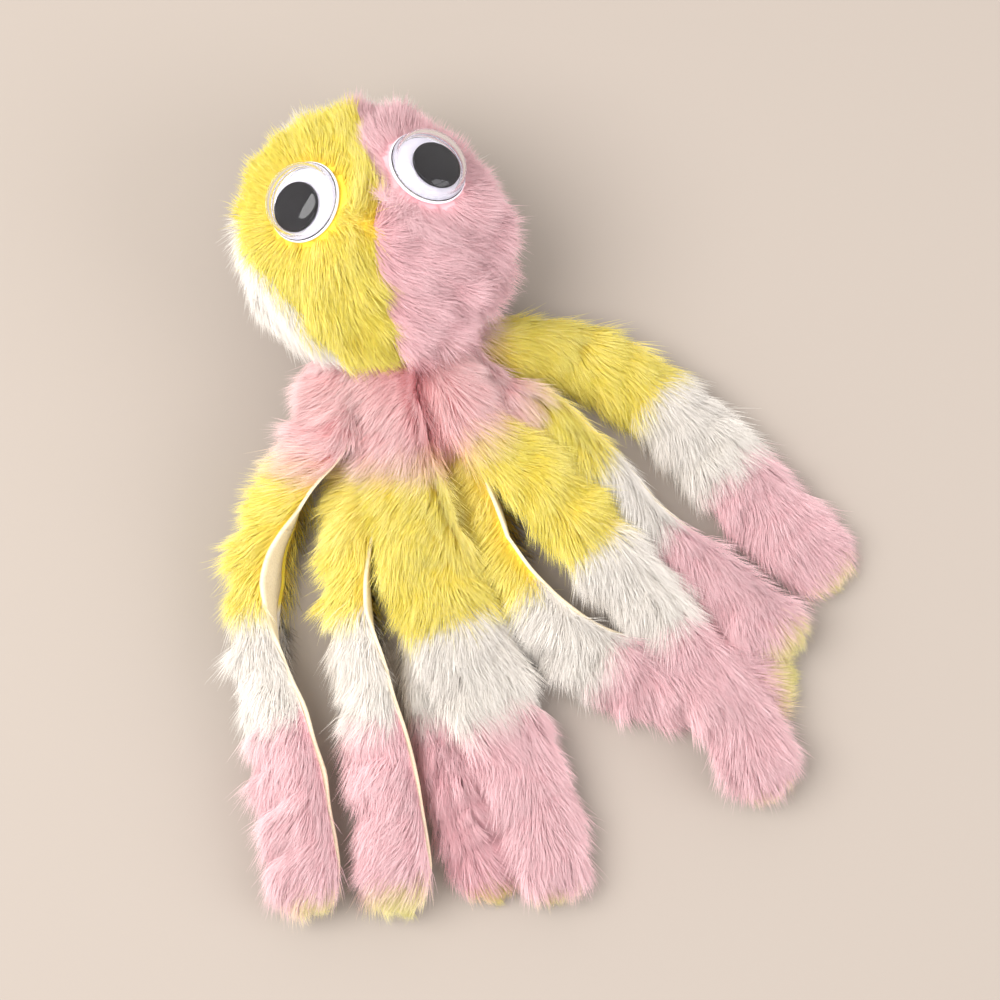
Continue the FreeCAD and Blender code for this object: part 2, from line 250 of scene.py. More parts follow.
# ---- meshes -----------------------------------------------------------------------------------
def build_object(name, chunks, material):
    """One object from chunks of vertices, faces, map positions and shading normals."""
    sizes, loops, base = [], [], 0
    for chunk in chunks:
        for faces in chunk["faces"]:
            sizes.append(np.full(len(faces), faces.shape[1]))
            loops.append(faces.ravel() + base)
        base += len(chunk["points"])
    sizes = np.concatenate(sizes)
    loops = np.concatenate(loops)
    points = np.vstack([chunk["points"] for chunk in chunks]) * MM
    mesh = bpy.data.meshes.new(name)
    mesh.vertices.add(len(points))
    mesh.vertices.foreach_set("co", points.astype(np.float32).ravel())
    mesh.loops.add(len(loops))
    mesh.loops.foreach_set("vertex_index", loops.astype(np.int32))
    mesh.polygons.add(len(sizes))
    starts = np.concatenate([[0], np.cumsum(sizes)[:-1]])
    mesh.polygons.foreach_set("loop_start", starts.astype(np.int32))
    mesh.update(calc_edges=True)
    mesh.polygons.foreach_set("use_smooth", np.ones(len(sizes), bool))
    uv = np.vstack([chunk["uv"] for chunk in chunks])[loops]
    mesh.uv_layers.new(name="OFBake").data.foreach_set("uv", uv.astype(np.float32).ravel())
    if any("normals" in chunk for chunk in chunks):
        unset = [np.zeros_like(chunk["points"]) for chunk in chunks]
        normals = np.vstack([chunk.get("normals", blank) for chunk, blank in zip(chunks, unset)])
        mesh.normals_split_custom_set_from_vertices(normals.tolist())
    mesh.materials.append(material)
    obj = bpy.data.objects.new(name, mesh)
    bpy.context.scene.collection.objects.link(obj)
    return obj


def slab(top, bottom, uv):
    """A closed solid between two grids of points. Rows run along it, columns across it."""
    rows, columns = top.shape[:2]
    index = np.arange(rows * columns).reshape(rows, columns)
    below = index + rows * columns

    def quads(a, b, c, d):
        return np.stack([a.ravel(), b.ravel(), c.ravel(), d.ravel()], axis=1)

    faces = [
        quads(index[:-1, :-1], index[:-1, 1:], index[1:, 1:], index[1:, :-1]),
        quads(below[:-1, :-1], below[1:, :-1], below[1:, 1:], below[:-1, 1:]),
        quads(index[0, :-1], below[0, :-1], below[0, 1:], index[0, 1:]),
        quads(index[-1, :-1], index[-1, 1:], below[-1, 1:], below[-1, :-1]),
        quads(index[:-1, 0], index[1:, 0], below[1:, 0], below[:-1, 0]),
        quads(index[:-1, -1], below[:-1, -1], below[1:, -1], index[1:, -1]),
    ]
    points = np.vstack([top.reshape(-1, 3), bottom.reshape(-1, 3)])
    flat = uv.reshape(-1, 2)
    return {"points": points, "faces": faces, "uv": np.vstack([flat, flat])}


def tone(row, height):
    """Second axis of the fur's map: a shade row, and the height from root (0) to tip (1)."""
    return (row + 0.06 + 0.88 * height) / TONES


def sample(grid, count, weight=None):
    """Random places on a grid's surface: the point, which way the surface faces there and which
    way a hair grows ("normal"), both directions of the grid, and the place in the grid."""
    a, b, c, d = grid[:-1, :-1], grid[1:, :-1], grid[:-1, 1:], grid[1:, 1:]
    along = (b - a + d - c) / 2
    across = (c - a + d - b) / 2
    normal = np.cross(across, along)
    chance = np.linalg.norm(normal, axis=-1)
    if weight is not None:
        chance = chance * weight
    chance = chance.ravel() / chance.sum()
    i, j = np.unravel_index(rng.choice(chance.size, count, p=chance), a.shape[:2])
    u, v = rng.random((2, count, 1))
    left = a[i, j] * (1 - u) * (1 - v) + b[i, j] * u * (1 - v)
    point = left + c[i, j] * (1 - u) * v + d[i, j] * u * v
    facing = unit(normal[i, j])
    return {"point": point, "normal": facing, "facing": facing, "along": unit(along[i, j]),
            "across": unit(across[i, j]), "row": i + u[:, 0], "column": j + v[:, 0]}


STATIONS = np.array([0.0, 0.5, 1.0])            # along a hair, where its sides bend
HAIR_TAPER = np.array([1.0, 0.66])              # its thickness at each station but the tip
RING = np.radians([90.0, 210.0, 330.0])         # the corners of its section
TUFT = 60                                       # hairs that lean towards one another
STRAY = 0.17                                    # how far single hairs leave the flow


def tuft_middles(points):
    """The number of the hair in the middle of each hair's tuft."""
    centres = rng.choice(len(points), max(1, len(points) // TUFT), replace=False)
    tree = kdtree.KDTree(len(centres))
    for number, hair in enumerate(centres):
        tree.insert(points[hair], number)
    tree.balance()
    return centres[[tree.find(point)[1] for point in points]]


def hairs(roots, flow, length, lift, radius, colour, clump=0.3, rows=TONES, painted_shade=0.0):
    """Tapered three-sided hairs: they rise from the roots and lie over along flow, in tufts."""
    count = len(roots["point"])
    normal = roots["normal"]
    flow = unit(flow + STRAY * rng.normal(size=(count, 3)))
    u = STATIONS[None, :, None]
    rise = lift[:, None, None] * (1.1 * u - 0.4 * u**2)
    run = 0.6 * u + 0.36 * u**2
    line = roots["point"][:, None] + length[:, None, None] * (normal[:, None] * rise + flow[:, None] * run)
    middles = tuft_middles(roots["point"])
    to_middle = (line[middles, -1] - line[:, -1])[:, None]
    line += to_middle * clump * rng.uniform(0.2, 1.0, (count, 1, 1)) * u**1.5
    line[:, :, 2] = np.maximum(line[:, :, 2], FLOOR + 0.4 * rng.random((count, 1)))

    way = unit(np.diff(line, axis=1))
    side = unit(np.cross(normal[:, None], way) + 1e-6)
    top = np.cross(way, side)
    thick = radius * HAIR_TAPER[None, :, None, None]
    outward = np.stack([math.cos(angle) * side + math.sin(angle) * top for angle in RING], axis=2)
    rings = line[:, :2, None] + thick * outward
    points = np.concatenate([rings.reshape(count, 6, 3), line[:, 2:]], axis=1)
    shade = np.concatenate([outward.reshape(count, 6, 3), way[:, 1:]], axis=1)
    shade = unit((roots["facing"] + 0.7 * UP)[:, None] + 0.2 * shade)

    quads = np.array([(j, (j + 1) % 3, 3 + (j + 1) % 3, 3 + j) for j in range(3)])
    triangles = np.array([(3, 4, 6), (4, 5, 6), (5, 3, 6), (0, 2, 1)])
    corner_count = 7
    start = corner_count * np.arange(count)[:, None, None]
    faces = [(quads[None] + start).reshape(-1, 4), (triangles[None] + start).reshape(-1, 3)]
    row = rng.integers(0, rows, count)
    # Painted shade: in creases and gaps the hair's colour is read from lower down it, nearer the darker root
    # colour.
    shown = 1 - 0.85 * np.maximum(painted_shade, painted_shade_share(roots["point"]))
    heights = np.repeat(STATIONS, (3, 3, 1)) * shown[:, None]
    places = np.repeat(colour[:, None], corner_count, axis=1)
    uv = np.stack([places, tone(row[:, None], heights)], axis=-1)
    return {"points": points.reshape(-1, 3), "faces": faces, "uv": uv.reshape(-1, 2),
            "normals": shade.reshape(-1, 3)}


MOST_HAIRS = 19000              # in one object


def build_pile(name, underfur, grow, count):
    """Underfur and the hairs on it, in as many objects as keep each one to a fair size."""
    parts = math.ceil(count / MOST_HAIRS)
    objects = []
    for part in range(parts):
        chunks = [grow(count // parts)]
        if part == 0:
            chunks.insert(0, underfur)
        suffix = f"_{part + 1}" if part else ""
        objects.append(build_object(name + suffix, chunks, FUR))
    return objects


# ---- materials --------------------------------------------------------------------------------
def new_material(name):
    """A material with its nodes and links."""
    material = bpy.data.materials.new(name)
    material.use_nodes = True
    return material, material.node_tree.nodes, material.node_tree.links


def math_node(nodes, links, operation, first, second):
    """The outcome of a sum; each input is a socket or a number."""
    node = nodes.new("ShaderNodeMath")
    node.operation = operation
    for socket, value in zip(node.inputs, (first, second)):
        if hasattr(value, "is_output"):
            links.new(value, socket)
        else:
            socket.default_value = value
    return node.outputs[0]


def ramp(nodes, links, factor, stops):
    """Colour stops, read at a factor."""
    node = nodes.new("ShaderNodeValToRGB")
    elements = node.color_ramp.elements
    while len(elements) < len(stops):
        elements.new(0.5)
    for element, (position, colour) in zip(elements, stops):
        element.position = position
        element.color = (*colour, 1.0)
    links.new(factor, node.inputs[0])
    return node.outputs[0]


def mix(nodes, links, factor, first, second, blend="MIX"):
    """Two colours mixed; each input is a socket, a colour or a number."""
    node = nodes.new("ShaderNodeMix")
    node.data_type = "RGBA"
    node.blend_type = blend
    for socket, value in ((node.inputs[0], factor), (node.inputs[6], first), (node.inputs[7], second)):
        if hasattr(value, "is_output"):
            links.new(value, socket)
        elif isinstance(value, float):
            socket.default_value = value
        else:
            socket.default_value = (*value, 1.0)
    return node.outputs[2]


def stripe_stops(pink_neck, yellow, white, pink, tip):
    """Colour stops that hold each stripe's colour and cross over quickly between stripes."""
    stops = [(0.0, pink_neck)]
    colours = (pink_neck, yellow, white, pink, tip)
    softness = (0.035, 0.012, 0.018, 0.01)
    for edge, before, after, soft in zip(STRIPES[1:-1], colours, colours[1:], softness):
        stops += [(edge - soft, before), (edge + soft, after)]
    return stops


def fur_material():
    """The map's first axis picks the stripe; its second is shade row and height up the hair. Low on a hair
    the colour is a darker, warmer deep one and high up the pale one: painted shade deep in the pile.
    """
    material, nodes, links = new_material("long_pile")
    shader = nodes["Principled BSDF"]
    place = nodes.new("ShaderNodeUVMap")
    place.uv_map = "OFBake"
    split = nodes.new("ShaderNodeSeparateXYZ")
    links.new(place.outputs[0], split.inputs[0])
    rows = math_node(nodes, links, "MULTIPLY", split.outputs[1], float(TONES))
    height = math_node(nodes, links, "FRACT", rows, 0.0)
    row = math_node(nodes, links, "FLOOR", rows, 0.0)
    # Painted shade: the darker, warmer colours of the shaded depth of the pile, at the hairs' roots.
    painted_shade = ramp(nodes, links, split.outputs[0], stripe_stops(
        (0.90, 0.14, 0.17), (0.97, 0.55, 0.03), (0.95, 0.86, 0.76), (0.87, 0.40, 0.45), (0.91, 0.72, 0.12)))
    pale = ramp(nodes, links, split.outputs[0], stripe_stops(
        (1.0, 0.65, 0.645), (1.0, 0.86, 0.10), (0.95, 0.88, 0.805), (0.96, 0.57, 0.61), (0.96, 0.85, 0.28)))
    # From the painted shade at the root to the pale colour at the tip.
    rise = ramp(nodes, links, height, [(0.0, (0, 0, 0)), (0.35, (0.55, 0.55, 0.55)), (0.9, (1, 1, 1))])
    colour = mix(nodes, links, rise, painted_shade, pale)
    shade = math_node(nodes, links, "MULTIPLY", row, 1.0 / (TONES - 1))
    bright = ramp(nodes, links, shade, [(0.0, (0.90, 0.90, 0.90)), (1.0, (1.0, 1.0, 1.0))])
    colour = mix(nodes, links, 1.0, colour, bright, "MULTIPLY")
    links.new(colour, shader.inputs["Base Color"])
    shader.inputs["Roughness"].default_value = 0.75
    shader.inputs["Specular IOR Level"].default_value = 0.12
    shader.inputs["Subsurface Weight"].default_value = 0.3
    shader.inputs["Subsurface Radius"].default_value = (1.0, 1.0, 1.0)
    shader.inputs["Subsurface Scale"].default_value = 0.001
    shader.inputs["Sheen Weight"].default_value = 0.25
    shader.inputs["Sheen Roughness"].default_value = 0.5
    return material


def cloth_material(name, colour, darker, scale):
    """Fine knit: small loops, scale of them to the metre, in colour and height."""
    material, nodes, links = new_material(name)
    shader = nodes["Principled BSDF"]
    place = nodes.new("ShaderNodeTexCoord")
    loops = nodes.new("ShaderNodeTexVoronoi")
    loops.inputs["Scale"].default_value = scale
    links.new(place.outputs["Object"], loops.inputs["Vector"])
    cloud = nodes.new("ShaderNodeTexNoise")
    cloud.inputs["Scale"].default_value = scale / 12
    links.new(place.outputs["Object"], cloud.inputs["Vector"])
    blend = math_node(nodes, links, "MULTIPLY", loops.outputs["Distance"], cloud.outputs[0])
    links.new(ramp(nodes, links, blend, [(0.0, colour), (0.6, darker)]), shader.inputs["Base Color"])
    bump = nodes.new("ShaderNodeBump")
    bump.inputs["Strength"].default_value = 0.5
    bump.inputs["Distance"].default_value = 0.0001
    links.new(loops.outputs["Distance"], bump.inputs["Height"])
    links.new(bump.outputs[0], shader.inputs["Normal"])
    shader.inputs["Roughness"].default_value = 0.9
    return material


def plastic_material(name, colour, roughness, blemish=0.02, transmission=0.0, ior=1.47):
    """Smooth plastic, with faint unevenness in its gloss."""
    material, nodes, links = new_material(name)
    shader = nodes["Principled BSDF"]
    cloud = nodes.new("ShaderNodeTexNoise")
    cloud.inputs["Scale"].default_value = 400.0
    place = nodes.new("ShaderNodeTexCoord")
    links.new(place.outputs["Object"], cloud.inputs["Vector"])
    gloss = ramp(nodes, links, cloud.outputs[0], [(0.3, (roughness,) * 3), (0.7, (roughness + blemish,) * 3)])
    links.new(gloss, shader.inputs["Roughness"])
    shader.inputs["Base Color"].default_value = (*colour, 1.0)
    shader.inputs["Transmission Weight"].default_value = transmission
    shader.inputs["IOR"].default_value = ior
    return material


FUR = fur_material()
BACKING = cloth_material("knit_backing", (0.80, 0.70, 0.52), (0.68, 0.57, 0.39), 2200.0)
CLEAR = plastic_material("clear_plastic", (0.98, 0.98, 1.0), 0.03, 0.02, 1.0, ior=1.28)
# The disc's white is greyed and tinted lilac: painted shade and reflection from the clear dome over it.
EYE_WHITE = plastic_material("white_plastic", (0.82, 0.79, 0.89), 0.25)
EYE_BLACK = plastic_material("black_plastic", (0.008, 0.007, 0.009), 0.45, ior=1.25)


# ---- arms -------------------------------------------------------------------------------------
# Outlines of the underfur across a strip, from its cut edge to the other: a share of its width,
# and how far sideways and upwards of that, where the cut edge is bare and where pile covers it.
BARE_SECTION = np.array([
    (-.5, .4, .35), (-.5, .6, 1.8), (-.5, 1.5, 3.2), (-.2, 0, 4.1), (.05, 0, 4.4), (.3, 0, 4.0),
    (.5, -.6, 3.2), (.5, .5, 2.0), (.5, .9, .8), (.5, .5, -.3), (.5, -.3, -.35)])
FULL_SECTION = np.array([
    (-.5, .3, -.35), (-.5, -.5, -.3), (-.5, -.7, .9), (-.5, -.3, 2.2), (-.36, 0, 3.5), (-.1, 0, 4.3),
    (.15, 0, 4.3), (.36, 0, 3.5), (.5, .3, 2.2), (.5, .7, .9), (.5, -.3, -.35)])
HAIR_SHARE = np.array([0.8, 1.5, 1.4, 1, 1, 1, 1, 0.9, 0.5, 0.3])   # of each part of the outline
ARM_DENSITY = 345               # hairs for each millimetre of a strip's length
ARM_HAIR = 6.2                  # length of a hair
ARM_HAIR_RADIUS = 0.058
TIP_ROUND = 6.0                 # the scissors rounded off this much of a strip's end
TIP_PILE = 3.0                  # how far the pile reaches past the strip's end
ROOT_SPREAD = 16.0              # a strip opens to full width over this length
BEND_REACH = 7.0                # the stretch each side of a strip's hinge; the split between an arm's two pieces is placed from it
COLLAR_REACH = (-1.0, 9.0)      # and the stretch from here to here where a strip leaves the collar


def strip_at(arm, reach):
    """Where the strip is, how it faces, and its width and bareness, at each reach."""
    route = arm["route"]
    share = np.clip(reach / route.length, 0.0, 1.0)
    run = route.tangent(reach)
    level = unit(np.cross(run, UP))
    rise = np.cross(level, run)
    roll = np.radians(evenly(share, arm["roll"]))[:, None]
    across = level * np.cos(roll) - rise * np.sin(roll)
    normal = rise * np.cos(roll) + level * np.sin(roll)
    bare = evenly(share, arm["bare"])
    width = STRIP_WIDTH * evenly(share, arm["width"]) * (0.8 + 0.2 * smooth(reach / ROOT_SPREAD))
    left = np.clip((arm["end"] - reach) / TIP_ROUND, 0.0, 1.0)
    tip = np.sqrt(np.maximum(1 - (1 - left) ** 2, 0.02))
    shift = evenly(share, arm["shift"])
    centre = route.at(reach) - rise * 1.0 - level * shift[:, None]
    centre[:, 2] += width / 2 * np.sin(roll[:, 0])
    return {"centre": centre, "across": across, "normal": normal, "run": run,
            "width": width, "bare": bare, "tip": tip}


def stripe_place(arm, reach):
    """The place in the stripes of this much of the arm's length."""
    return np.interp(reach, (arm["route"].start, *arm["stripes"], arm["route"].length + 3.0), STRIPES)


def place_on(at, side, high):
    """Points this far to the side of a strip's middle line and this high over the strip."""
    sideways = side[..., None] * at["across"][:, None]
    return at["centre"][:, None] + sideways + high[..., None] * at["normal"][:, None]


def underfur_grid(arm, reach, seed):
    """The outside and the underside of the underfur, and where the strip is."""
    at = strip_at(arm, reach)
    bare = at["bare"][:, None, None]
    width = at["width"][:, None]
    shape = bare * BARE_SECTION + (1 - bare) * FULL_SECTION
    size = at["tip"][:, None]
    side = (shape[..., 0] * width + shape[..., 1]) * (0.25 + 0.75 * size)
    high = np.where(shape[..., 2] > 0, shape[..., 2] * size * arm["loft"], shape[..., 2])
    grid = place_on(at, side, high)
    rough = 0.6 + 1.4 * arm["ruffle_and_shade"]
    swell = rough * (0.5 * lumps(grid, 9.0, seed) + 0.22 * lumps(grid, 4.0, seed + 1))
    grid = grid + (swell * np.clip(high / 3.0, 0, 1))[..., None] * at["normal"][:, None]
    grid[..., 2] = np.maximum(grid[..., 2], FLOOR)
    underside = np.clip(side, -width / 2 + 0.5, width / 2 - 0.3)
    base = place_on(at, underside, np.full(side.shape, 0.3))
    return grid, base, at


def backing_chunk(arm, reach, seed):
    """The cloth under the pile, with a gently waving cut edge."""
    at = strip_at(arm, reach)
    columns = np.linspace(-0.5, 0.5, 11)[None]
    width = at["width"] * np.maximum(at["tip"], 0.3)
    wave = 0.35 * lumps(at["centre"], 14.0, seed)
    side = columns * width[:, None]
    curl = 0.5 * (columns * 2) ** 2 + wave[:, None] * np.abs(columns) * 2
    middle = place_on(at, side, curl - 0.2)
    half = 0.32 * at["normal"][:, None]
    top, bottom = middle + half, middle - half
    for grid, lowest in ((top, 0.6), (bottom, 0.15)):
        grid[..., 2] = np.maximum(grid[..., 2], lowest)
    uv = np.stack([np.broadcast_to(reach[:, None] / 100.0, side.shape),
                   np.broadcast_to(columns + 0.5, side.shape)], axis=-1)
    return slab(top, bottom, uv)


def arm_hairs(arm, reach, grid, at, count):
    """Hairs over the underfur. Beside a bare cut edge they grow straight up, clear of the edge."""
    places = sample(grid, count, HAIR_SHARE[None, :])
    where = np.interp(places["row"], np.arange(len(reach)), reach)
    bare = np.interp(places["row"], np.arange(len(reach)), at["bare"])
    side = at["across"][places["row"].astype(int)]
    outward = np.minimum(np.sum(places["normal"] * side, axis=1), 0) * bare
    places["normal"] = unit(places["normal"] - 0.85 * outward[:, None] * side)
    over = 2 * places["column"] / (grid.shape[1] - 1) - 1       # from -1, the cut edge, to 1
    share = np.clip(where / arm["route"].length, 0, 1)
    sweep = np.radians(evenly(share, arm["sweep"]))
    lean = np.sin(sweep) + (1 - bare) * 0.4 * over
    stray = 0.35 * lumps(places["point"], 11.0, 31)
    near_tip = smooth(1 - (arm["end"] - where) / 5.0)
    flow = (places["along"] * (np.cos(sweep) + 0.4 * near_tip)[:, None]
            + places["across"] * (lean + stray)[:, None])
    length = rng.normal(ARM_HAIR, 0.8, count).clip(3.5, 8.5) * (1 + 0.12 * lumps(places["point"], 6.0, 5))
    length *= 1 - 0.35 * near_tip
    lift = 0.55 + 0.15 * lumps(places["point"], 7.0, 17)
    lift *= 1 - 0.35 * bare * smooth((0.2 - places["column"] / (grid.shape[1] - 1)) / 0.2)
    jitter = rng.normal(0, 0.8, count)
    colour = stripe_place(arm, where + jitter)
    # Painted shade: the more ruffled an arm, the fewer and darker shade rows its hairs use, which darkens the
    # low arm_4 lying under arm_3.
    return hairs(places, flow, length, np.clip(lift, 0.25, 1.0), ARM_HAIR_RADIUS, colour,
                 clump=0.6 * arm["ruffle_and_shade"], rows=round(TONES * (1.15 - 0.6 * arm["ruffle_and_shade"])))


def part_reach(start, end, step=1.4):
    """Evenly spaced places along a stretch of an arm."""
    return np.linspace(start, end, max(4, round((end - start) / step)))


def make_arm(name, number):
    """An arm in two stretches, split between where it leaves the collar and its hinge, each made as a pile
    and a backing.
    """
    points = np.array(ARMS[name]["points"]) + ROUTE_ORIGIN
    route = Route(points, ARMS[name]["root"])
    arm = {**ARMS[name], "route": route, "end": route.length - TIP_PILE}
    upper, lower = f"{name}_upper", f"{name}_lower"
    bend = route.reach_of(points[arm["bend"]])
    join = (10.0 + bend - BEND_REACH) / 2
    hinge_reach = (bend - BEND_REACH, bend + BEND_REACH)
    spans = (("root", route.start, join, "collar", upper, COLLAR_REACH, upper),
             ("rest", join, arm["end"], upper, lower, hinge_reach, lower))
    for word, start, end, first, second, bending, node in spans:
        reach = part_reach(start, end)
        grid, base, at = underfur_grid(arm, reach, 100 + number)
        # The underfur takes the colour halfway up a hair, so part of the painted shade of the deep pile.
        uv = np.stack([np.broadcast_to(stripe_place(arm, reach)[:, None], grid.shape[:2]),
                       np.full(grid.shape[:2], tone(4, 0.5))], axis=-1)
        piles = build_pile(f"{name}_{word}_pile", slab(grid, base, uv),
                           lambda count: arm_hairs(arm, reach, grid, at, count),
                           int(ARM_DENSITY * (end - start)))
        cloth = build_object(f"{name}_{word}_backing", [backing_chunk(arm, reach, 200 + number)], BACKING)
        for obj in (*piles, cloth):
            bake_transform(obj)
        for pile in piles:
            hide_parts(node)


# ---- head -------------------------------------------------------------------------------------
HEAD_RADIUS = 23.3              # of the underfur; the tips stand further out
LINING_RADIUS = 20.5
LUMP_RADIUS = 25                # turns directions into places when swells are worked out
PILE_RADIUS = 24                # turns angles on the head into lengths
GORE_SPAN = 1.97                # a gore's height from neck to crown, in head radii
HEAD_DENSITY = 12.5             # hairs on each square millimetre
HEAD_HAIR = 5.6                 # length of a hair
HEAD_HAIR_RADIUS = 0.062
EYE_CLEARING = 7.7              # no hair grows this near an eye's axis
# Where the ball bulges (or is squashed): direction, height, and how sharply it ends.
BULGES = (((0.84, 0.52, 0.13), -2.6, 9.0), ((0.45, 0.85, 0.3), -1.0, 9.0), ((-0.8, 0.55, 0.2), 0.7, 12.0),
          ((-0.95, -0.1, 0.1), 0.6, 12.0))


def eye_axis(side):
    """The way an eye faces; side is -1 for the left one and 1 for the right one."""
    return unit(EYE_DIRECTION * (side, 1, 1))


def off_eye(way, side):
    """Each direction's part square to an eye's axis, that part's length in millimetres on the head,
    and the direction's part along the axis."""
    axis = eye_axis(side)
    along = way @ axis
    off = way - axis * along[..., None]
    return off, np.linalg.norm(off, axis=-1) * PILE_RADIUS, along


def crown_share(way):
    """From 0 on the half of the head by the neck to 1 at the crown."""
    return smooth((-(way @ NECK_AXIS) - 0.1) / 0.4)


def head_direction(polar, turn):
    """A direction from the head's centre: polar from the neck, turn from the face, in radians."""
    ring = np.sin(polar)[..., None] * (np.cos(turn)[..., None] * FACE_AXIS + np.sin(turn)[..., None] * SIDE)
    return np.cos(polar)[..., None] * NECK_AXIS + ring


def head_surface(polar, turn):
    """The underfur's surface: swells, a valley along the front seam, and a flat under each eye."""
    way = head_direction(polar, turn)
    places = way * LUMP_RADIUS
    radius = HEAD_RADIUS + 0.45 * lumps(places, 13.0, 51) + 0.18 * lumps(places, 6.0, 52)
    for direction, rise, sharpness in BULGES:
        radius = radius + rise * np.exp(sharpness * (way @ unit(np.array(direction)) - 1))
    low = smooth((math.radians(150) - polar) / 0.6)
    from_seam = (turn - seam_turn("yellow_pink", polar)) * np.sin(polar) * LUMP_RADIUS
    radius = radius - 1.4 * low * np.exp(-(from_seam / 2.0) ** 2)
    for side in (-1, 1):
        face = way @ eye_axis(side)
        flat = np.minimum(radius, (EYE_BACK - 0.1) / np.maximum(face, 0.5))
        radius = np.where(face > 0.8, flat, radius)
    points = HEAD + way * radius[..., None]
    points[..., 2] = np.maximum(points[..., 2], 0.4)
    return points


def gore_flow(name, places, middle, half):
    """Which way the pile lies: towards the neck and fanning out from the gore's middle, or combed
    aside on the pink front; back over the crown; and away from each eye."""
    way = unit(places["point"] - HEAD)
    down = unit(NECK_AXIS - way * (way @ NECK_AXIS)[:, None])
    turn = np.arctan2(way @ SIDE, way @ FACE_AXIS)
    fan = (np.angle(np.exp(1j * (turn - middle))) / half)[:, None]
    flow = down + 0.5 * fan * places["across"]
    if name == "head_gore_pink_front":
        flow = 0.45 * down + 0.75 * places["across"]
    crown = crown_share(way)[:, None]
    flow = flow * (1 - crown) + crown * unit(way * (way @ FACE_AXIS)[:, None] - FACE_AXIS)
    for side in (-1, 1):
        off, distance, _ = off_eye(way, side)
        near = np.exp(-((distance - 8.0) / 2.5) ** 2)
        flow = flow + 1.6 * near[:, None] * unit(off)
    stray = 0.28 if name == "head_gore_pink_front" else 0.2
    swirl = np.stack([lumps(way * LUMP_RADIUS, 9.0, 60 + k) for k in range(3)], axis=-1)
    return flow + stray * swirl


def seam_turn(seam, polar):
    """How far round the head a seam lies at each angle from the neck: a named line, or straight."""
    if seam not in SEAMS:
        return np.full(polar.shape, math.radians(seam))
    knots, turns = np.radians(np.array(SEAMS[seam]).T)
    return np.interp(polar, knots, turns)


def gore_shape(first, last):
    """A gore's underfur and lining between two seams, and the mean angle of each seam."""
    polar = np.radians(np.linspace(13, 179, 64))
    sides = [seam_turn(seam, polar) for seam in (first, last)]
    start, end = (float(np.mean(turns)) for turns in sides)
    share = np.linspace(0, 1, max(12, round(math.degrees(end - start) / 3.5)))
    turn = sides[0][:, None] * (1 - share) + sides[1][:, None] * share
    polar = np.repeat(polar[:, None], len(share), axis=1)
    grid = head_surface(polar, turn)
    reach = np.linalg.norm(grid - HEAD, axis=-1, keepdims=True)
    lining = HEAD + head_direction(polar, turn) * np.minimum(reach - 1.0, LINING_RADIUS)
    lining[..., 2] = np.maximum(lining[..., 2], 0.35)
    return grid, lining, start, end


def clear_of_eyes(grid):
    """How much hair grows on each cell of a grid on the head: none under the eyes."""
    way = unit((grid[:-1, :-1] + grid[1:, 1:]) / 2 - HEAD)
    clear = np.ones(way.shape[:2])
    for side in (-1, 1):
        _, distance, along = off_eye(way, side)
        clear[(distance < EYE_CLEARING) & (along > 0)] = 0
    return clear


def seam_valley_shade(way):
    """How much painted shade each direction gets: most in the front seam's valley, where the hairs take the
    darker deep root colour.
    """
    turn = np.arctan2(way @ SIDE, way @ FACE_AXIS)
    polar = np.arccos(np.clip(way @ NECK_AXIS, -1, 1))
    from_seam = np.abs(turn - seam_turn("yellow_pink", polar)) * np.sin(polar) * PILE_RADIUS
    return 0.8 * smooth(1.3 - from_seam / 3.5) * smooth((2.2 - polar) / 0.5)


def gore_hairs(name, grid, start, end, count):
    """A gore's hairs, shorter beside the eyes, on the crown and where the ball is squashed."""
    colour = GORES[name][2]
    places = sample(grid, count, clear_of_eyes(grid))
    flow = gore_flow(name, places, (start + end) / 2, (end - start) / 2)
    way = unit(places["point"] - HEAD)
    nearest = np.full(count, 99.0)
    for side in (-1, 1):
        _, distance, along = off_eye(way, side)
        nearest = np.minimum(nearest, np.where(along > 0, distance, 99.0))
    beside_eye = smooth((11.0 - nearest) / 4.0)
    squashed = np.exp(6.0 * (way @ unit(np.array(BULGES[0][0])) - 1))
    length = rng.normal(HEAD_HAIR, 0.6, count).clip(3.5, 7.0) * (1 - 0.45 * beside_eye)
    length *= (1 - 0.3 * squashed) * (1 - 0.15 * crown_share(way))
    lift = (0.56 + 0.12 * lumps(way * LUMP_RADIUS, 7.0, 71)) * (1 - 0.45 * beside_eye)
    tint = colour + rng.normal(0, 0.02, count).clip(-0.05, 0.05)
    # Painted shade in the front seam's valley of the pink gore.
    return hairs(places, flow, length, lift.clip(0.2, 1.1), HEAD_HAIR_RADIUS, tint, clump=0.15,
                 painted_shade=seam_valley_shade(way) if colour == PINK else 0.0)


def make_gore(name):
    """One gore of the head's cover, with its lining inside it."""
    first, last, colour, slot = GORES[name]
    grid, lining, start, end = gore_shape(first, last)
    # The underfur takes the colour halfway up a hair, so part of the painted shade of the deep pile.
    uv = np.broadcast_to(np.array([colour, tone(4, 0.5)]), (*grid.shape[:2], 2))
    area = (end - start) * PILE_RADIUS**2 * GORE_SPAN
    piles = build_pile(f"{name}_pile", slab(grid, lining, uv),
                       lambda count: gore_hairs(name, grid, start, end, count),
                       int(HEAD_DENSITY * area))
    for obj in piles:
        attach(obj, "head")
        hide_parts(name)


# ---- neck -------------------------------------------------------------------------------------
COLLAR_RADIUS = 9.4             # of the gathered ring
COLLAR_HEIGHT = 13.0
COLLAR_HAIRS = 7000
COLLAR_HAIR = 6.0               # length of a hair
COLLAR_HAIR_RADIUS = 0.085


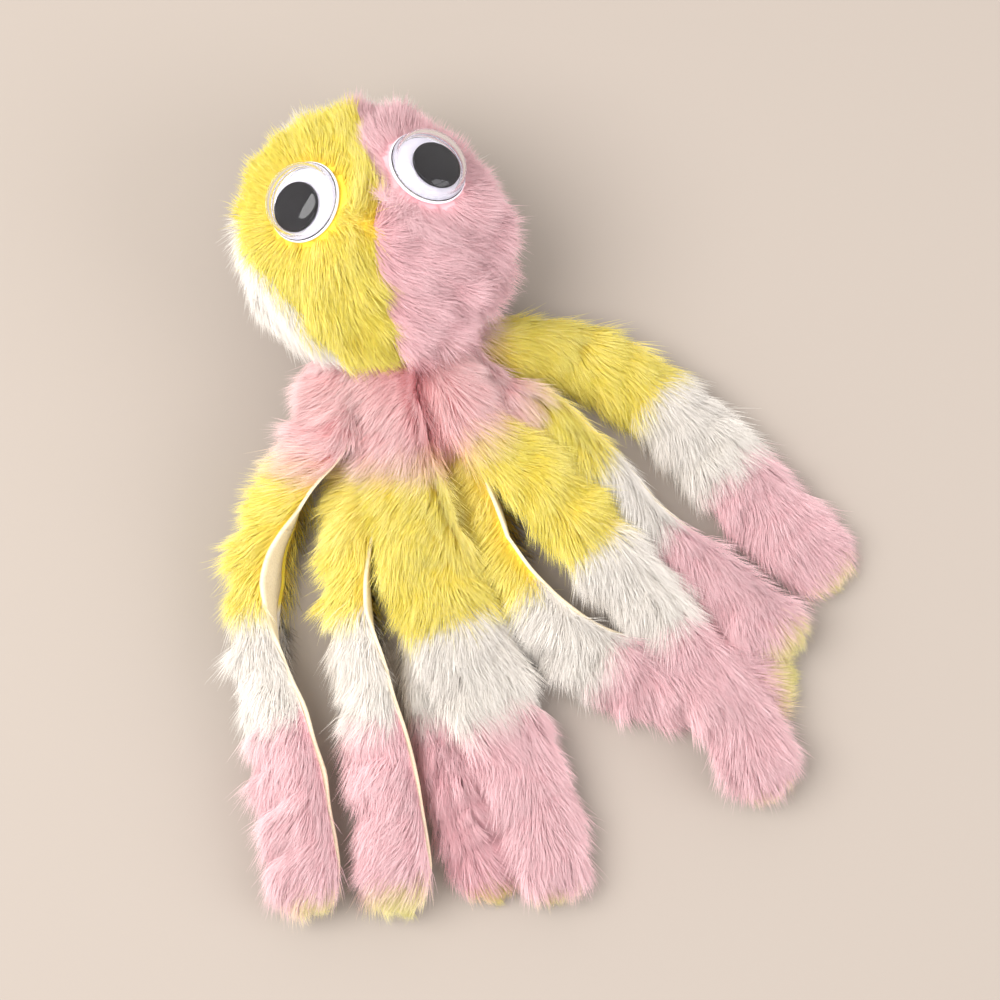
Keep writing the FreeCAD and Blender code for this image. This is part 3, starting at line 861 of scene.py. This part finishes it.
def make_collar():
    """The gathered top of the fringe, with short pile lying outwards and down."""
    rows, columns = 18, 49
    climb = np.linspace(0.02, 1, rows)
    around = np.linspace(0, -2 * math.pi, columns)
    climb, around = np.meshgrid(climb, around, indexing="ij")
    radius = COLLAR_RADIUS * np.sin(climb * math.pi * 0.62)
    height = COLLAR_HEIGHT * np.cos(climb * math.pi * 0.5) + 1.0
    across = COLLAR[0] + radius * np.cos(around)
    upwards = COLLAR[1] + radius * np.sin(around)
    grid = np.stack([across, upwards, height], axis=-1)
    inside = (grid - COLLAR - UP * 4) * 0.8 + COLLAR + UP * 4
    # The collar's underfur takes the colour low on a hair, mostly the painted shade of the deep pile.
    uv = np.broadcast_to(np.array([PINK_NECK, tone(3, 0.2)]), (rows, columns, 2))
    places = sample(grid, COLLAR_HAIRS)
    swirl = np.stack([lumps(places["point"], 7.0, 80 + k) for k in range(3)], axis=-1)
    length = rng.normal(COLLAR_HAIR, 0.8, COLLAR_HAIRS).clip(3, 8)
    lift = np.full(COLLAR_HAIRS, 0.8)
    tint = PINK_NECK + rng.normal(0, 0.015, COLLAR_HAIRS)
    pile = hairs(places, places["along"] + 0.3 * swirl, length, lift, COLLAR_HAIR_RADIUS, tint)
    obj = build_object("neck_collar_pile", [slab(grid, inside, uv), pile], FUR)
    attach(obj, "collar")
    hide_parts("neck_collar")


# ---- eyes -------------------------------------------------------------------------------------
WHITE_DISC = 0.59               # thickness, just clear of the dome that stands on it
DOME_BASE = 0.6                 # height of the dome's underside above the eye's back
DOME_WALL = 0.5
PUPIL_HALF = 0.4                # half a pupil's thickness


def lathe(name, profile, centre, axis, material, segments=72):
    """A closed outline of (radius, height) points turned about an axis."""
    first = unit(np.cross(axis, SIDE))
    second = np.cross(axis, first)
    angle = np.linspace(0, 2 * math.pi, segments, endpoint=False)
    spokes = np.cos(angle)[:, None] * first + np.sin(angle)[:, None] * second
    profile = np.array(profile)
    points = (centre + profile[None, :, :1] * spokes[:, None] + profile[None, :, 1:] * axis).reshape(-1, 3)
    count = len(profile)
    index = np.arange(segments * count).reshape(segments, count)
    around = np.roll(index, -1, axis=0)
    after = np.roll(index, -1, axis=1)
    both = np.roll(around, -1, axis=1)
    quads = np.stack([index.ravel(), after.ravel(), both.ravel(), around.ravel()], axis=1)
    mesh = bpy.data.meshes.new(name)
    mesh.from_pydata((points * MM).tolist(), [], quads.tolist())
    mesh.validate()
    obj = bpy.data.objects.new(name, mesh)
    bpy.context.scene.collection.objects.link(obj)
    mesh.materials.append(material)
    work = bmesh.new()
    work.from_mesh(mesh)
    bmesh.ops.remove_doubles(work, verts=work.verts, dist=2e-6)
    bmesh.ops.dissolve_degenerate(work, edges=work.edges, dist=1e-7)
    bmesh.ops.recalc_face_normals(work, faces=work.faces)
    work.to_mesh(mesh)
    work.free()
    mesh.polygons.foreach_set("use_smooth", np.ones(len(mesh.polygons), bool))
    return obj


def rounded_disc(radius, low, high, bevel=0.25, steps=5):
    """The outline of a disc with a rounded rim."""
    turn = np.linspace(0, math.pi / 2, steps)
    core = radius - bevel
    outer = [(core + bevel * math.sin(a), high - bevel + bevel * math.cos(a)) for a in turn]
    under = [(core + bevel * math.cos(a), low + bevel - bevel * math.sin(a)) for a in turn]
    return [(0.0, low), (0.0, high), *outer, *under]


def dome_outline():
    """The clear cap: a thin flat brim, a step up, and a shallow crown, hollow inside."""
    base = EYE_BACK + DOME_BASE
    outer_radius, outer_height = CAVITY_RADIUS + DOME_WALL, 4.45
    inner_radius, inner_height = CAVITY_RADIUS, 3.9
    share = np.linspace(0, 1, 22)

    def crown(radius, height, shoulder):
        angle = share * math.pi / 2
        rise = height - shoulder
        return [(radius * math.cos(a) ** 0.55, base + shoulder + rise * math.sin(a) ** 0.9)
                for a in angle]

    brim = [(inner_radius, base), (EYE_RADIUS - 0.3, base), (EYE_RADIUS - 0.25, base + 0.2),
            (EYE_RADIUS - 0.4, base + 0.42), (outer_radius + 0.25, base + 0.5),
            (outer_radius + 0.05, base + 0.7)]
    outside = crown(outer_radius, outer_height, 1.3)
    inside = crown(inner_radius, inner_height, 1.1)
    outside[-1] = (0.0, outside[-1][1])
    inside[-1] = (0.0, inside[-1][1])
    return brim + outside + inside[::-1]


def make_eye(word, side):
    """A wobbly eye: white disc, clear dome, and a loose pupil where the model has it."""
    axis = eye_axis(side)
    disc = rounded_disc(EYE_RADIUS - 0.02, EYE_BACK, EYE_BACK + WHITE_DISC)
    back = lathe(f"eye_{word}_white_disc", disc, HEAD, axis, EYE_WHITE)
    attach(back, "head")
    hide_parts(f"eye_{word}_back")
    dome = lathe(f"eye_{word}_clear_dome", dome_outline(), HEAD, axis, CLEAR)
    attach(dome, "head")
    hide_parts(f"eye_{word}_dome")
    low, high = (np.array(corner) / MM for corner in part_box(f"eye_{word}_pupil"))
    middle = (low + high) / 2 - HEAD
    height = float(middle @ axis)
    centre = HEAD + middle - axis * height
    disc = rounded_disc(PUPIL_RADIUS, height - PUPIL_HALF, height + PUPIL_HALF)
    pupil = lathe(f"eye_{word}_black_disc", disc, centre, axis, EYE_BLACK)
    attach(pupil, f"pupil_{word}")
    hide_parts(f"eye_{word}_pupil")


def finish_hidden_nodes():
    """The CAD nodes that stay: filling, glue, thread and bunched cloth."""
    fibre = cloth_material("fibre_filling", (0.95, 0.95, 0.94), (0.85, 0.85, 0.84), 900.0)
    thread = cloth_material("pink_thread", (0.90, 0.50, 0.55), (0.72, 0.32, 0.38), 3000.0)
    glue = plastic_material("set_glue", (0.86, 0.84, 0.76), 0.35, 0.1)
    finishes = {"head_stuffing": fibre, "neck_tie": thread, "neck_gather": BACKING,
                "eye_left_glue": glue, "eye_right_glue": glue}
    for node, material in finishes.items():
        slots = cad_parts[node].data.materials
        slots.clear()
        slots.append(material)


# ---- stage ------------------------------------------------------------------------------------
CAMERA_TARGET = Vector((-0.12, 0.3, 0.0)) * MM
CAMERA_DISTANCE = 0.6
CAMERA_AZIMUTH, CAMERA_ELEVATION = math.radians(-16), math.radians(80)
FIELD_WIDTH = 0.19              # metres across the picture, at the target


def aim(obj, target):
    """Turns a lamp or the camera to face a point."""
    obj.rotation_euler = (target - obj.location).to_track_quat("-Z", "Y").to_euler()


def make_camera():
    """The photograph's view, from high above the toy."""
    camera = bpy.data.objects.new("camera", bpy.data.cameras.new("camera"))
    out = Vector((math.sin(CAMERA_AZIMUTH) * math.cos(CAMERA_ELEVATION),
                  -math.cos(CAMERA_AZIMUTH) * math.cos(CAMERA_ELEVATION),
                  math.sin(CAMERA_ELEVATION)))
    camera.location = CAMERA_TARGET + out * CAMERA_DISTANCE
    camera.data.lens = camera.data.sensor_width * CAMERA_DISTANCE / FIELD_WIDTH
    camera.data.clip_start = 0.01
    aim(camera, CAMERA_TARGET)
    bpy.context.scene.collection.objects.link(camera)
    bpy.context.scene.camera = camera


def make_light(name, place, size, power, colour):
    """A round lamp that faces the toy."""
    data = bpy.data.lights.new(name, "AREA")
    data.shape = "DISK"
    data.size = size
    data.energy = power
    data.color = colour
    light = bpy.data.objects.new(name, data)
    light.location = place
    aim(light, Vector((0, 0, 0.01)))
    bpy.context.scene.collection.objects.link(light)


def make_stage():
    """The surface the toy lies on, two lamps and a soft surround."""
    bpy.ops.mesh.primitive_plane_add(size=6.0)
    floor = bpy.context.object
    floor.name = "floor"
    material, nodes, _ = new_material("pale_floor")
    nodes["Principled BSDF"].inputs["Base Color"].default_value = (0.34, 0.296, 0.262, 1.0)
    nodes["Principled BSDF"].inputs["Roughness"].default_value = 0.9
    floor.data.materials.append(material)
    make_light("key", (-0.38, 0.08, 0.68), 0.6, 7.2, (1.0, 0.99, 0.97))
    make_light("fill", (0.55, -0.35, 0.5), 0.6, 2.8, (0.98, 0.98, 1.0))
    world = bpy.data.worlds.new("soft_studio")
    world.use_nodes = True
    world.node_tree.nodes["Background"].inputs[0].default_value = (1.0, 0.965, 0.93, 1.0)
    world.node_tree.nodes["Background"].inputs[1].default_value = 1.12
    bpy.context.scene.world = world
    bpy.context.scene.view_settings.view_transform = "Standard"


make_camera()
make_stage()
for gore_name in GORES:
    make_gore(gore_name)
make_collar()
for arm_number, arm_name in enumerate(ARMS):
    make_arm(arm_name, arm_number)
make_eye("left", -1)
make_eye("right", 1)
finish_hidden_nodes()
